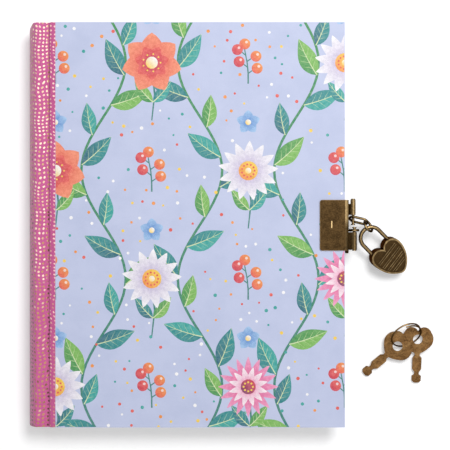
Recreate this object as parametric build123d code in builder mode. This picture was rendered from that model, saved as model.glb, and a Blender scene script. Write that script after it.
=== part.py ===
from build123d import *
import math
import os

os.makedirs("parts", exist_ok=True)

# Driving dimensions, in millimetres. Origin: centre of the back cover's underside.
# +X runs from the spine to the fore-edge, +Y to the head, +Z up to the front cover.
BOOK_T = 20.0
HALF_Y = 105.1
PAPER_T = 0.2
BOARD_T = 2.3
COVER_T = BOARD_T + 2 * PAPER_T
BOARD_X0 = -71.15
CLOTH_X1 = BOARD_X0 + 2.65
TURN_IN = 4.0
CLOTH_T = 0.3

# Text block: the sections fill the height between the covers, less the loose leaves.
HEAD_SQUARE = 3.6
BLOCK_Y = HALF_Y - HEAD_SQUARE
SHEET_W = 155.4
SECTION_N = 8
LEAF_T = 0.25
LEAF_PITCH = LEAF_T + 0.05
LEAF_Z0 = BOOK_T - COVER_T - 0.17 - LEAF_T - 4 * LEAF_PITCH
SECTION_Z0 = COVER_T + 0.11 + LEAF_T
SECTION_T = (LEAF_Z0 - 0.06 - SECTION_Z0) / SECTION_N
FOLD_R = SECTION_T / 2 - 0.015
BACK_R = 9.5
LINING_ANG = math.radians(32)
BAND_ANG = math.radians(33)

# Spine: an arc band about a centre at mid thickness, outside the rounded back.
BACK_GAP = 1.18
CARD_T = 1.2
SPINE_CX = BOARD_X0 + 0.13
SPINE_CZ = BOOK_T / 2
CARD_RI = BACK_R + BACK_GAP
CARD_RO = CARD_RI + CARD_T
SPINE_RO = CARD_RO + CLOTH_T
HINGE_R = (SPINE_RO + CARD_RI) / 2
HINGE_DROP = 1.367
HINGE_DZ = BOOK_T / 2 - HINGE_DROP
SPINE_ANG = math.asin(HINGE_DZ / HINGE_R)
HINGE_X = SPINE_CX - HINGE_R * math.cos(SPINE_ANG)
END_R = (SPINE_RO - CARD_RI) / 2
HEAD_CUT_X = 2.6
HEAD_CUT_Y = 3.2

# Fore-edge: the boards stand out past the sheets, and the loose leaves end between.
FORE_SQUARE = 5.95
EDGE_X = SPINE_CX - BACK_R + FOLD_R + SHEET_W + FORE_SQUARE
LEAF_X1 = EDGE_X - 4.0
LEAF_TOP = LEAF_Z0 + 4 * LEAF_PITCH + LEAF_T
LEAF_X0 = SPINE_CX - math.sqrt(BACK_R ** 2 - (LEAF_TOP - SPINE_CZ) ** 2) + 1.1
LEAF_ROOTS = (0.0, 0.0, 0.0, 0.9, 2.4)

# Clasp, set out from the fore-edge of the boards
PLATE_T = 0.68
PLATE_GAP = 0.02
PLATE_X0 = EDGE_X - 13.0
GRIP_X = EDGE_X - 3.0
FRONT_Y = (-13.35, 12.9)
BACK_Y = (-15.15, 11.1)
NOSE_X = EDGE_X + 0.05
BARREL_X = EDGE_X + 5.45
FRONT_BARREL_Z = BOOK_T - 5.4
BACK_BARREL_Z = BOOK_T - 12.0
BARREL_RI = 0.8
BARREL_RO = BARREL_RI + 0.55
PIN_R = BARREL_RI - 0.05
PIN_HEAD_R = BARREL_RI + 0.35
FRONT_BARREL_Y = (-13.1, -3.8)
BACK_BARREL_Y = (5.2, 13.3)
BACK_PIN_END = 0.35
BACK_LIP = 3.2
WIRE_R = 0.66

# Padlock, drawn in its own plane: x along its axis to the tip, y across, z out of its face.
LOCK_TILT = math.radians(10.0)
LOCK = Plane(
    origin=(BARREL_X + 13.85, -11.2, BACK_BARREL_Z - 0.95),
    x_dir=(
        math.cos(LOCK_TILT) * math.sqrt(0.5),
        -math.cos(LOCK_TILT) * math.sqrt(0.5),
        -math.sin(LOCK_TILT),
    ),
    z_dir=(
        math.sin(LOCK_TILT) * math.sqrt(0.5),
        -math.sin(LOCK_TILT) * math.sqrt(0.5),
        math.cos(LOCK_TILT),
    ),
)
CASE_H = 3.75
LEG_V = 5.75
SHACKLE_R = 1.05
ARC_U = -6.1
LONG_LEG_U = 10.6
SHORT_LEG_U = 3.5
PLUG_R = 3.1
LATCH_W = 0.9

# Keys
KEY_T = 1.0
KEY_1 = (EDGE_X + 29.6, -64.55, 3.45)
KEY_1_DIR = (-0.763, -0.647)
KEY_1_DROP = math.radians(7.2)
KEY_2 = (EDGE_X + 40.5, -61.0, 2.4)
KEY_2_DIR = (-0.03, -1.0)
KEY_2_DROP = math.radians(4.6)
RING_R = 8.2
RING_WIRE_R = 0.42


def section_plane(y):
    """A plane across the book at one height on the page, drawn in X and Z."""
    return Plane(origin=(0, y, 0), x_dir=(1, 0, 0), z_dir=(0, -1, 0))


def lock_plane(w):
    """The padlock's plane moved out along its face."""
    return LOCK.offset(w)


def arc_band(r_in, r_out, ang):
    """An upright band of the spine's arc, closed with straight ends."""
    points = []
    for r in (r_in, r_out):
        row = []
        for a in (-ang, 0.0, ang):
            x = SPINE_CX - r * math.cos(a)
            z = SPINE_CZ + r * math.sin(a)
            row.append((x, z))
        points.append(row)
    with BuildLine() as outline:
        ThreePointArc(points[0][0], points[0][1], points[0][2])
        Line(points[0][2], points[1][2])
        ThreePointArc(points[1][2], points[1][1], points[1][0])
        Line(points[1][0], points[0][0])
    make_face(outline.edges())


def head_corner(inset):
    """The worn corner at the spine's head, seen from above, moved into the spine by an inset."""
    slope = HEAD_CUT_Y / HEAD_CUT_X
    corner_x = SPINE_CX - SPINE_RO
    start_y = HALF_Y - HEAD_CUT_Y - inset * math.hypot(1, slope)
    with BuildLine() as outline:
        Polyline(
            (corner_x - 1, start_y - slope),
            (corner_x + 5, start_y + 5 * slope),
            (corner_x - 1, start_y + 5 * slope),
            close=True,
        )
    make_face(outline.edges())


JOINT_END_H = COVER_T - 0.3


def joint_outline(face, way):
    """The cloth of one joint in section: off the spine, down the groove and on to the board.

    The points are depths inside a cover's outer face, and way points into the book.
    """
    middle = (HINGE_X + BOARD_X0) / 2
    groove = BOARD_X0 - 1.45
    rows = (
        (HINGE_X + 0.76, HINGE_DROP - 0.73),
        (middle, 1.05),
        (groove, 1.5),
        (groove + 0.7, 1.45),
        (BOARD_X0 - 0.3, 1.0),
        (BOARD_X0 - 0.25, 0.25),
        (BOARD_X0 + 0.05, 0.0),
        (CLOTH_X1, 0.0),
        (CLOTH_X1, PAPER_T),
        (BOARD_X0, PAPER_T),
        (BOARD_X0, 1.35),
        (groove + 0.9, 1.8),
        (groove, 1.85),
        (middle, 1.38),
        (HINGE_X + 0.86, HINGE_DROP - 0.39),
    )
    return [(x, face + way * depth) for x, depth in rows]


def heart(grow):
    """The padlock's heart outline, grown or shrunk by an amount."""
    lobe = 5.0 + grow
    apart = min(4.25, lobe - 0.08)
    notch = 5.0 - math.sqrt(lobe ** 2 - apart ** 2)
    big = 14.97 + grow
    end = math.radians(29.7)
    mid = math.radians(59.85)
    tip_u = 18.45 + grow
    side_u = 5.0 + big * math.cos(end)
    side_v = -5.72 + big * math.sin(end)
    mid_u = 5.0 + big * math.cos(mid)
    mid_v = -5.72 + big * math.sin(mid)
    with BuildLine() as outline:
        ThreePointArc((notch, 0), (5.0 - lobe, apart), (5.0, apart + lobe))
        ThreePointArc((5.0, apart + lobe), (mid_u, mid_v), (side_u, side_v))
        ThreePointArc((side_u, side_v), (tip_u, 0), (side_u, -side_v))
        ThreePointArc((side_u, -side_v), (mid_u, -mid_v), (5.0, -apart - lobe))
        ThreePointArc((5.0, -apart - lobe), (5.0 - lobe, -apart), (notch, 0))
    make_face(outline.edges())


def key_plane(at, way, drop):
    """A key's own plane: x along its blade to the tip, z out of its upper face."""
    size = math.hypot(way[0], way[1])
    x = (way[0] / size, way[1] / size)
    return Plane(
        origin=at,
        x_dir=(x[0] * math.cos(drop), x[1] * math.cos(drop), -math.sin(drop)),
        z_dir=(x[0] * math.sin(drop), x[1] * math.sin(drop), math.cos(drop)),
    )


def key_outline():
    """Heart bow, neck, blade, second neck and round tip."""
    with BuildLine() as outline:
        ThreePointArc((-4.3, 0), (-6.5, 3.4), (-3.9, 7.0))
        ThreePointArc((-3.9, 7.0), (0.6, 8.2), (4.5, 5.8))
        ThreePointArc((4.5, 5.8), (6.3, 3.6), (7.4, 1.5))
        Polyline(
            (7.4, 1.5),
            (8.6, 1.35),
            (9.9, 2.4),
            (16.0, 2.4),
            (17.6, 1.2),
            (18.8, 1.2),
            (19.6, 2.4),
            (22.2, 2.4),
            (23.2, 1.3),
            (23.3, 0),
        )
        mirror(about=Plane.XZ)
    make_face(outline.edges())


# Front cover

with BuildPart() as front_board:
    with BuildSketch(Plane.XY.offset(BOOK_T - PAPER_T)):
        with Locations(((BOARD_X0 + EDGE_X - PAPER_T) / 2, 0)):
            Rectangle(EDGE_X - PAPER_T - BOARD_X0, 2 * (HALF_Y - PAPER_T))
    extrude(amount=-BOARD_T)
front_board.part.label = "front_board"
export_step(front_board.part, "parts/front_board.step")

with BuildPart() as front_paper:
    with BuildSketch(Plane.XY.offset(BOOK_T)):
        with Locations(((CLOTH_X1 + EDGE_X) / 2, 0)):
            Rectangle(EDGE_X - CLOTH_X1, 2 * HALF_Y)
    extrude(amount=-COVER_T)
    with BuildSketch(Plane.XY.offset(BOOK_T - PAPER_T)):
        with Locations(((CLOTH_X1 - 10 + EDGE_X - PAPER_T) / 2, 0)):
            Rectangle(EDGE_X - PAPER_T - CLOTH_X1 + 10, 2 * (HALF_Y - PAPER_T))
    extrude(amount=-BOARD_T, mode=Mode.SUBTRACT)
    with BuildSketch(Plane.XY.offset(BOOK_T - PAPER_T - BOARD_T)):
        with Locations(((CLOTH_X1 - 10 + EDGE_X - TURN_IN) / 2, 0)):
            Rectangle(EDGE_X - TURN_IN - CLOTH_X1 + 10, 2 * (HALF_Y - TURN_IN))
    extrude(amount=-2 * PAPER_T, mode=Mode.SUBTRACT)
front_paper.part.label = "front_paper"
export_step(front_paper.part, "parts/front_paper.step")

with BuildPart() as front_pastedown:
    with BuildSketch(Plane.XY.offset(BOOK_T - PAPER_T - BOARD_T)):
        with Locations(((BOARD_X0 + EDGE_X - TURN_IN) / 2, 0)):
            Rectangle(EDGE_X - TURN_IN - BOARD_X0, 2 * (HALF_Y - TURN_IN))
    extrude(amount=-PAPER_T)
front_pastedown.part.label = "front_pastedown"
export_step(front_pastedown.part, "parts/front_pastedown.step")

with BuildPart() as front_joint_cloth:
    with BuildSketch(section_plane(HALF_Y)):
        with BuildLine():
            Polyline(*joint_outline(BOOK_T, -1), close=True)
        make_face()
    extrude(amount=2 * HALF_Y)
    with BuildSketch(section_plane(HALF_Y), section_plane(-HALF_Y + PAPER_T)):
        with Locations(((BOARD_X0 - 0.25 + CLOTH_X1) / 2, BOOK_T - PAPER_T / 2 - JOINT_END_H / 2)):
            Rectangle(CLOTH_X1 - BOARD_X0 + 0.25, JOINT_END_H)
    extrude(amount=PAPER_T)
front_joint_cloth.part.label = "front_joint_cloth"
export_step(front_joint_cloth.part, "parts/front_joint_cloth.step")

# Back cover, with a pocket that lets the back clip in flush

with BuildPart() as back_board:
    with BuildSketch(Plane.XY.offset(PAPER_T)):
        with Locations(((BOARD_X0 + EDGE_X - PAPER_T) / 2, 0)):
            Rectangle(EDGE_X - PAPER_T - BOARD_X0, 2 * (HALF_Y - PAPER_T))
    extrude(amount=BOARD_T)
    with BuildSketch(Plane.XY):
        with Locations(((PLATE_X0 - 0.1 + BARREL_X) / 2, (BACK_Y[0] + BACK_Y[1]) / 2)):
            Rectangle(BARREL_X - PLATE_X0 + 0.1, BACK_Y[1] - BACK_Y[0] + 0.2)
    extrude(amount=PLATE_T + 0.05, mode=Mode.SUBTRACT)
back_board.part.label = "back_board"
export_step(back_board.part, "parts/back_board.step")

with BuildPart() as back_paper:
    with BuildSketch(Plane.XY):
        with Locations(((CLOTH_X1 + EDGE_X) / 2, 0)):
            Rectangle(EDGE_X - CLOTH_X1, 2 * HALF_Y)
    extrude(amount=COVER_T)
    with BuildSketch(Plane.XY.offset(PAPER_T)):
        with Locations(((CLOTH_X1 - 10 + EDGE_X - PAPER_T) / 2, 0)):
            Rectangle(EDGE_X - PAPER_T - CLOTH_X1 + 10, 2 * (HALF_Y - PAPER_T))
    extrude(amount=BOARD_T, mode=Mode.SUBTRACT)
    with BuildSketch(Plane.XY.offset(PAPER_T + BOARD_T)):
        with Locations(((CLOTH_X1 - 10 + EDGE_X - TURN_IN) / 2, 0)):
            Rectangle(EDGE_X - TURN_IN - CLOTH_X1 + 10, 2 * (HALF_Y - TURN_IN))
    extrude(amount=2 * PAPER_T, mode=Mode.SUBTRACT)
    with BuildSketch(Plane.XY):
        with Locations(((PLATE_X0 - 0.1 + BARREL_X) / 2, (BACK_Y[0] + BACK_Y[1]) / 2)):
            Rectangle(BARREL_X - PLATE_X0 + 0.1, BACK_Y[1] - BACK_Y[0] + 0.2)
    extrude(amount=PLATE_T + 0.05, mode=Mode.SUBTRACT)
back_paper.part.label = "back_paper"
export_step(back_paper.part, "parts/back_paper.step")

with BuildPart() as back_pastedown:
    with BuildSketch(Plane.XY.offset(PAPER_T + BOARD_T)):
        with Locations(((BOARD_X0 + EDGE_X - TURN_IN) / 2, 0)):
            Rectangle(EDGE_X - TURN_IN - BOARD_X0, 2 * (HALF_Y - TURN_IN))
    extrude(amount=PAPER_T)
back_pastedown.part.label = "back_pastedown"
export_step(back_pastedown.part, "parts/back_pastedown.step")

with BuildPart() as back_joint_cloth:
    with BuildSketch(section_plane(HALF_Y)):
        with BuildLine():
            Polyline(*joint_outline(0.0, 1), close=True)
        make_face()
    extrude(amount=2 * HALF_Y)
    with BuildSketch(section_plane(HALF_Y), section_plane(-HALF_Y + PAPER_T)):
        with Locations(((BOARD_X0 - 0.25 + CLOTH_X1) / 2, PAPER_T / 2 + JOINT_END_H / 2)):
            Rectangle(CLOTH_X1 - BOARD_X0 + 0.25, JOINT_END_H)
    extrude(amount=PAPER_T)
back_joint_cloth.part.label = "back_joint_cloth"
export_step(back_joint_cloth.part, "parts/back_joint_cloth.step")

# Spine

with BuildPart() as spine_card:
    with BuildSketch(section_plane(HALF_Y - PAPER_T)):
        arc_band(CARD_RI, CARD_RO, SPINE_ANG)
    extrude(amount=2 * (HALF_Y - PAPER_T))
    with BuildSketch(Plane.XY):
        head_corner(PAPER_T)
    extrude(amount=BOOK_T, mode=Mode.SUBTRACT)
spine_card.part.label = "spine_card"
export_step(spine_card.part, "parts/spine_card.step")

# The cloth wraps the card's outside, rounds both long edges and turns in over the ends.
with BuildPart() as spine_cloth:
    with BuildSketch(section_plane(HALF_Y)):
        arc_band(CARD_RI, SPINE_RO, SPINE_ANG)
        with Locations((HINGE_X, SPINE_CZ + HINGE_DZ), (HINGE_X, SPINE_CZ - HINGE_DZ)):
            Circle(END_R)
    extrude(amount=2 * HALF_Y)
    with BuildSketch(Plane.XY):
        head_corner(0)
    extrude(amount=BOOK_T, mode=Mode.SUBTRACT)
    add(spine_card.part, mode=Mode.SUBTRACT)
spine_cloth.part.label = "spine_cloth"
export_step(spine_cloth.part, "parts/spine_cloth.step")

# Text block

with BuildPart() as spine_lining:
    with BuildSketch(section_plane(BLOCK_Y - 4)):
        arc_band(BACK_R + 0.02, BACK_R + 0.45, LINING_ANG)
    extrude(amount=2 * (BLOCK_Y - 4))
spine_lining.part.label = "spine_lining"
export_step(spine_lining.part, "parts/spine_lining.step")

with BuildPart() as head_band:
    with BuildSketch(section_plane(BLOCK_Y + 1.5)):
        arc_band(BACK_R - 1.0, BACK_R + 0.4, BAND_ANG)
    extrude(amount=1.47)
    fillet(head_band.edges().filter_by(GeomType.CIRCLE), 0.5)
head_band.part.label = "head_band"
export_step(head_band.part, "parts/head_band.step")

with BuildPart() as tail_band:
    with BuildSketch(section_plane(-BLOCK_Y - 0.03)):
        arc_band(BACK_R - 1.0, BACK_R + 0.4, BAND_ANG)
    extrude(amount=1.47)
    fillet(tail_band.edges().filter_by(GeomType.CIRCLE), 0.5)
tail_band.part.label = "tail_band"
export_step(tail_band.part, "parts/tail_band.step")

# Each section's fold touches the rounded back, so its fore-edge is set back as much.
for number in range(1, SECTION_N + 1):
    low = SECTION_Z0 + (number - 1) * SECTION_T
    mid = low + FOLD_R
    fold_x = SPINE_CX - math.sqrt((BACK_R - FOLD_R) ** 2 - (mid - SPINE_CZ) ** 2)
    name = "section_%d" % number
    with BuildPart() as section:
        with BuildSketch(section_plane(BLOCK_Y)):
            with BuildLine():
                Line((fold_x, mid - FOLD_R), (fold_x + SHEET_W, mid - FOLD_R))
                Line((fold_x + SHEET_W, mid - FOLD_R), (fold_x + SHEET_W, mid + FOLD_R))
                Line((fold_x + SHEET_W, mid + FOLD_R), (fold_x, mid + FOLD_R))
                ThreePointArc(
                    (fold_x, mid + FOLD_R), (fold_x - FOLD_R, mid), (fold_x, mid - FOLD_R)
                )
            make_face()
        extrude(amount=2 * BLOCK_Y)
    section.part.label = name
    export_step(section.part, "parts/%s.step" % name)

# The upper leaves turn furthest, so their roots stand further from the fold line.
for number, name in enumerate(("leaf_4", "leaf_3", "leaf_2", "leaf_1", "front_flyleaf")):
    root_x = LEAF_X0 + LEAF_ROOTS[number]
    with BuildPart() as leaf:
        with BuildSketch(Plane.XY.offset(LEAF_Z0 + number * LEAF_PITCH)):
            with Locations(((root_x + LEAF_X1) / 2, 0)):
                Rectangle(LEAF_X1 - root_x, 2 * BLOCK_Y)
        extrude(amount=LEAF_T)
    leaf.part.label = name
    export_step(leaf.part, "parts/%s.step" % name)

with BuildPart() as back_flyleaf:
    with BuildSketch(Plane.XY.offset(COVER_T + 0.06)):
        with Locations(((LEAF_X0 + LEAF_X1) / 2, 0)):
            Rectangle(LEAF_X1 - LEAF_X0, 2 * BLOCK_Y)
    extrude(amount=LEAF_T)
back_flyleaf.part.label = "back_flyleaf"
export_step(back_flyleaf.part, "parts/back_flyleaf.step")

# Clasp

FRONT_TOP = BOOK_T + PLATE_GAP + PLATE_T
FRONT_LOW = BOOK_T - COVER_T - PLATE_GAP - PLATE_T
FRONT_MID = (FRONT_TOP + FRONT_LOW) / 2
FRONT_NOSE_R = (FRONT_TOP - FRONT_LOW) / 2
BACK_TOP = COVER_T + PLATE_GAP + PLATE_T
BACK_NOSE_R = BACK_TOP / 2

with BuildPart() as front_clip:
    with BuildSketch(section_plane(FRONT_Y[1])):
        with BuildLine():
            Line((PLATE_X0, FRONT_TOP), (NOSE_X, FRONT_TOP))
            ThreePointArc((NOSE_X, FRONT_TOP), (NOSE_X + FRONT_NOSE_R, FRONT_MID), (NOSE_X, FRONT_LOW))
            Line((NOSE_X, FRONT_LOW), (GRIP_X, FRONT_LOW))
            Line((GRIP_X, FRONT_LOW), (GRIP_X, FRONT_LOW + PLATE_T))
            Line((GRIP_X, FRONT_LOW + PLATE_T), (NOSE_X, FRONT_LOW + PLATE_T))
            ThreePointArc(
                (NOSE_X, FRONT_LOW + PLATE_T),
                (NOSE_X + FRONT_NOSE_R - PLATE_T, FRONT_MID),
                (NOSE_X, FRONT_TOP - PLATE_T),
            )
            Line((NOSE_X, FRONT_TOP - PLATE_T), (PLATE_X0, FRONT_TOP - PLATE_T))
            Line((PLATE_X0, FRONT_TOP - PLATE_T), (PLATE_X0, FRONT_TOP))
        make_face()
    extrude(amount=FRONT_Y[1] - FRONT_Y[0])
    fillet(front_clip.edges().filter_by(Axis.Z).group_by(Axis.X)[0], 1.2)
    with BuildSketch(section_plane(FRONT_BARREL_Y[1])):
        with BuildLine():
            Polyline(
                (NOSE_X + FRONT_NOSE_R - 0.6, FRONT_MID - 0.55),
                (NOSE_X + FRONT_NOSE_R - 0.65, FRONT_MID - 1.3),
                (BARREL_X - 0.85, FRONT_BARREL_Z + 0.35),
                (BARREL_X - 0.25, FRONT_BARREL_Z + 1.15),
                close=True,
            )
        make_face()
        with Locations((BARREL_X, FRONT_BARREL_Z)):
            Circle(BARREL_RO)
            Circle(BARREL_RI, mode=Mode.SUBTRACT)
    extrude(amount=FRONT_BARREL_Y[1] - FRONT_BARREL_Y[0])
    with BuildSketch(Plane.XY.offset(FRONT_TOP - 0.1)):
        with Locations((PLATE_X0 + 6.1, 0.1)):
            SlotOverall(3.6, 0.55, rotation=90)
    extrude(amount=0.3)
front_clip.part.label = "front_clip"
export_step(front_clip.part, "parts/front_clip.step")

with BuildPart() as back_clip:
    with BuildSketch(section_plane(BACK_Y[1])):
        with BuildLine():
            Line((PLATE_X0, 0.0), (NOSE_X, 0.0))
            ThreePointArc((NOSE_X, 0.0), (NOSE_X + BACK_NOSE_R, BACK_NOSE_R), (NOSE_X, BACK_TOP))
            Line((NOSE_X, BACK_TOP), (GRIP_X, BACK_TOP))
            Line((GRIP_X, BACK_TOP), (GRIP_X, BACK_TOP - PLATE_T))
            Line((GRIP_X, BACK_TOP - PLATE_T), (NOSE_X, BACK_TOP - PLATE_T))
            ThreePointArc(
                (NOSE_X, BACK_TOP - PLATE_T),
                (NOSE_X + BACK_NOSE_R - PLATE_T, BACK_NOSE_R),
                (NOSE_X, PLATE_T),
            )
            Line((NOSE_X, PLATE_T), (PLATE_X0, PLATE_T))
            Line((PLATE_X0, PLATE_T), (PLATE_X0, 0.0))
        make_face()
    extrude(amount=BACK_Y[1] - BACK_Y[0])
    fillet(back_clip.edges().filter_by(Axis.Z).group_by(Axis.X)[0], 1.2)
    with BuildSketch(section_plane(BACK_Y[1])):
        with BuildLine():
            Polyline(
                (NOSE_X + BACK_NOSE_R - 0.45, BACK_NOSE_R + 0.9),
                (BARREL_X - 0.85, BACK_BARREL_Z - 0.65),
                (BARREL_X - 0.3, BACK_BARREL_Z - 1.2),
                (NOSE_X + BACK_NOSE_R - 0.15, BACK_NOSE_R + 0.25),
                close=True,
            )
        make_face()
    extrude(amount=BACK_Y[1] - BACK_BARREL_Y[0])
    # Beside the barrel the leaf goes on as a low lip.
    leaf_x = BARREL_X - NOSE_X - BACK_NOSE_R - 0.4
    leaf_z = BACK_BARREL_Z - BACK_NOSE_R - 1.55
    lip_x = BACK_LIP * leaf_x / math.hypot(leaf_x, leaf_z)
    lip_z = BACK_LIP * leaf_z / math.hypot(leaf_x, leaf_z)
    with BuildSketch(section_plane(BACK_BARREL_Y[0])):
        with BuildLine():
            Polyline(
                (NOSE_X + BACK_NOSE_R - 0.45, BACK_NOSE_R + 0.9),
                (NOSE_X + BACK_NOSE_R - 0.45 + lip_x, BACK_NOSE_R + 0.9 + lip_z),
                (NOSE_X + BACK_NOSE_R - 0.1 + lip_x, BACK_NOSE_R + 0.4 + lip_z),
                (NOSE_X + BACK_NOSE_R - 0.15, BACK_NOSE_R + 0.25),
                close=True,
            )
        make_face()
    extrude(amount=BACK_BARREL_Y[0] - BACK_Y[0])
    with BuildSketch(section_plane(BACK_BARREL_Y[1])):
        with Locations((BARREL_X, BACK_BARREL_Z)):
            Circle(BARREL_RO)
    extrude(amount=BACK_BARREL_Y[1] - BACK_BARREL_Y[0])
    with BuildSketch(section_plane(BACK_BARREL_Y[1])):
        with Locations((BARREL_X, BACK_BARREL_Z)):
            Circle(BARREL_RI)
    extrude(amount=BACK_BARREL_Y[1] - BACK_BARREL_Y[0], mode=Mode.SUBTRACT)
back_clip.part.label = "back_clip"
export_step(back_clip.part, "parts/back_clip.step")

# Each pin has a peened head outside its barrel and a larger head that keeps the eye on.
with BuildPart() as front_pin:
    with BuildSketch(section_plane(-1.2)):
        with Locations((BARREL_X, FRONT_BARREL_Z)):
            Circle(PIN_R)
    extrude(amount=-1.2 - FRONT_BARREL_Y[0] + 0.1)
    with BuildSketch(section_plane(FRONT_BARREL_Y[0] - 0.05)):
        with Locations((BARREL_X, FRONT_BARREL_Z)):
            Circle(PIN_HEAD_R - 0.05)
    extrude(amount=0.45)
    with BuildSketch(section_plane(-1.2)):
        with Locations((BARREL_X, FRONT_BARREL_Z)):
            Circle(PIN_HEAD_R)
    extrude(amount=0.6)
front_pin.part.label = "front_pin"
export_step(front_pin.part, "parts/front_pin.step")

with BuildPart() as back_pin:
    with BuildSketch(section_plane(BACK_BARREL_Y[1] + 0.1)):
        with Locations((BARREL_X, BACK_BARREL_Z)):
            Circle(PIN_R)
    extrude(amount=BACK_BARREL_Y[1] + 0.1 - BACK_PIN_END + 0.2)
    with BuildSketch(section_plane(BACK_BARREL_Y[1] + 0.5)):
        with Locations((BARREL_X, BACK_BARREL_Z)):
            Circle(PIN_HEAD_R - 0.05)
    extrude(amount=0.45)
    with BuildSketch(section_plane(BACK_PIN_END)):
        with Locations((BARREL_X, BACK_BARREL_Z)):
            Circle(PIN_HEAD_R)
    extrude(amount=0.5)
back_pin.part.label = "back_pin"
export_step(back_pin.part, "parts/back_pin.step")

# Oval wire eyes, each drawn in its own plane with its long side along x.
BACK_EYE = Plane(
    origin=(BARREL_X + 2.88, 2.3, BACK_BARREL_Z + 0.75),
    x_dir=(0.9478, -0.2248, 0.2259),
    z_dir=(-0.3085, -0.8251, 0.4733),
)
BACK_EYE_RUN = 2.335
BACK_EYE_BEND = 2.485
FRONT_EYE = Plane(origin=(BARREL_X, -2.9, FRONT_BARREL_Z - 2.15), x_dir=(0, 0, -1), z_dir=(0, 1, 0))
FRONT_EYE_RUN = 1.55
FRONT_EYE_BEND = 2.05

with BuildPart() as back_eye:
    with BuildLine(BACK_EYE) as back_eye_path:
        Line((-BACK_EYE_RUN, BACK_EYE_BEND), (BACK_EYE_RUN, BACK_EYE_BEND))
        ThreePointArc(
            (BACK_EYE_RUN, BACK_EYE_BEND),
            (BACK_EYE_RUN + BACK_EYE_BEND, 0),
            (BACK_EYE_RUN, -BACK_EYE_BEND),
        )
        Line((BACK_EYE_RUN, -BACK_EYE_BEND), (-BACK_EYE_RUN, -BACK_EYE_BEND))
        ThreePointArc(
            (-BACK_EYE_RUN, -BACK_EYE_BEND),
            (-BACK_EYE_RUN - BACK_EYE_BEND, 0),
            (-BACK_EYE_RUN, BACK_EYE_BEND),
        )
    with BuildSketch(Plane(origin=back_eye_path.wires()[0] @ 0, z_dir=back_eye_path.wires()[0] % 0)):
        Circle(WIRE_R)
    sweep(path=back_eye_path.wires()[0])
back_eye.part.label = "back_eye"
export_step(back_eye.part, "parts/back_eye.step")

with BuildPart() as front_eye:
    with BuildLine(FRONT_EYE) as front_eye_path:
        Line((-FRONT_EYE_RUN, FRONT_EYE_BEND), (FRONT_EYE_RUN, FRONT_EYE_BEND))
        ThreePointArc(
            (FRONT_EYE_RUN, FRONT_EYE_BEND),
            (FRONT_EYE_RUN + FRONT_EYE_BEND, 0),
            (FRONT_EYE_RUN, -FRONT_EYE_BEND),
        )
        Line((FRONT_EYE_RUN, -FRONT_EYE_BEND), (-FRONT_EYE_RUN, -FRONT_EYE_BEND))
        ThreePointArc(
            (-FRONT_EYE_RUN, -FRONT_EYE_BEND),
            (-FRONT_EYE_RUN - FRONT_EYE_BEND, 0),
            (-FRONT_EYE_RUN, FRONT_EYE_BEND),
        )
    with BuildSketch(Plane(origin=front_eye_path.wires()[0] @ 0, z_dir=front_eye_path.wires()[0] % 0)):
        Circle(WIRE_R)
    sweep(path=front_eye_path.wires()[0])
front_eye.part.label = "front_eye"
export_step(front_eye.part, "parts/front_eye.step")

LINK_RING = Plane(
    origin=(BARREL_X + 8.0, -0.713, BACK_BARREL_Z + 0.42),
    z_dir=(0.7218, 0.4919, 0.4869),
)
LINK_RING_R = 3.09

with BuildPart() as link_ring:
    with BuildSketch(Plane(origin=LINK_RING.origin, x_dir=LINK_RING.x_dir, z_dir=LINK_RING.y_dir)):
        with Locations((LINK_RING_R, 0)):
            Circle(WIRE_R)
    revolve(axis=Axis(LINK_RING.origin, LINK_RING.z_dir))
link_ring.part.label = "link_ring"
export_step(link_ring.part, "parts/link_ring.step")

# Padlock

with BuildPart() as shackle:
    with BuildLine(LOCK) as shackle_path:
        Line((LONG_LEG_U, -LEG_V), (ARC_U, -LEG_V))
        ThreePointArc((ARC_U, -LEG_V), (ARC_U - LEG_V, 0), (ARC_U, LEG_V))
        Line((ARC_U, LEG_V), (SHORT_LEG_U, LEG_V))
    with BuildSketch(Plane(origin=shackle_path.wires()[0] @ 0, z_dir=shackle_path.wires()[0] % 0)):
        Circle(SHACKLE_R)
    sweep(path=shackle_path.wires()[0])
    with BuildSketch(lock_plane(-1.5)):
        with BuildLine():
            Polyline((5.5, -4.4), (5.5, -5.65), (6.2, -5.65), (9.77, -4.4), close=True)
        make_face()
    extrude(amount=3.0, mode=Mode.SUBTRACT)
shackle.part.label = "shackle"
export_step(shackle.part, "parts/shackle.step")

LEG_LONG = Plane(origin=LOCK.from_local_coords((-3, -LEG_V, 0)), z_dir=LOCK.x_dir)
LEG_SHORT = Plane(origin=LOCK.from_local_coords((-3, LEG_V, 0)), z_dir=LOCK.x_dir)
PLUG = Plane(origin=LOCK.from_local_coords((10.9, 0, 0)), x_dir=LOCK.y_dir, z_dir=LOCK.x_dir)
RIVETS = ((4.3, 0.0), (12.4, 5.3), (12.4, -5.3))

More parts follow.
